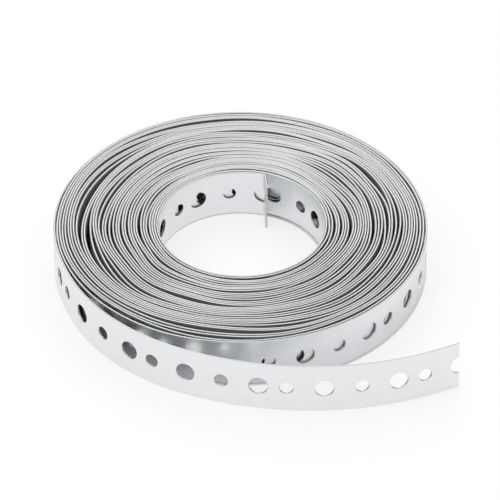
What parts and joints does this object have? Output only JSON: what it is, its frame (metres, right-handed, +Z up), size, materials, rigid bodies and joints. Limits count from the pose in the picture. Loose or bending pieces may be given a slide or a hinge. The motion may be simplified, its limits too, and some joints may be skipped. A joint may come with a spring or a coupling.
{
  "type": "perforated steel strap",
  "caption": "Coil of galvanised perforated steel strap lying on its edge, with alternating large and small holes, a loose outer end and an inner end bent into the bore.",
  "frame": {"origin": "centre of the part's bounding box on the floor", "axes": "+Z up along the axis of the coil; +X towards the free end's cut tip; +Y away from the free end"},
  "size_m": [0.1518, 0.1559, 0.02],
  "materials": {
    "zinc": "galvanised, satin"
  },
  "bodies": {
    "root": {"strap": "zinc"}
  },
  "joints": []
}
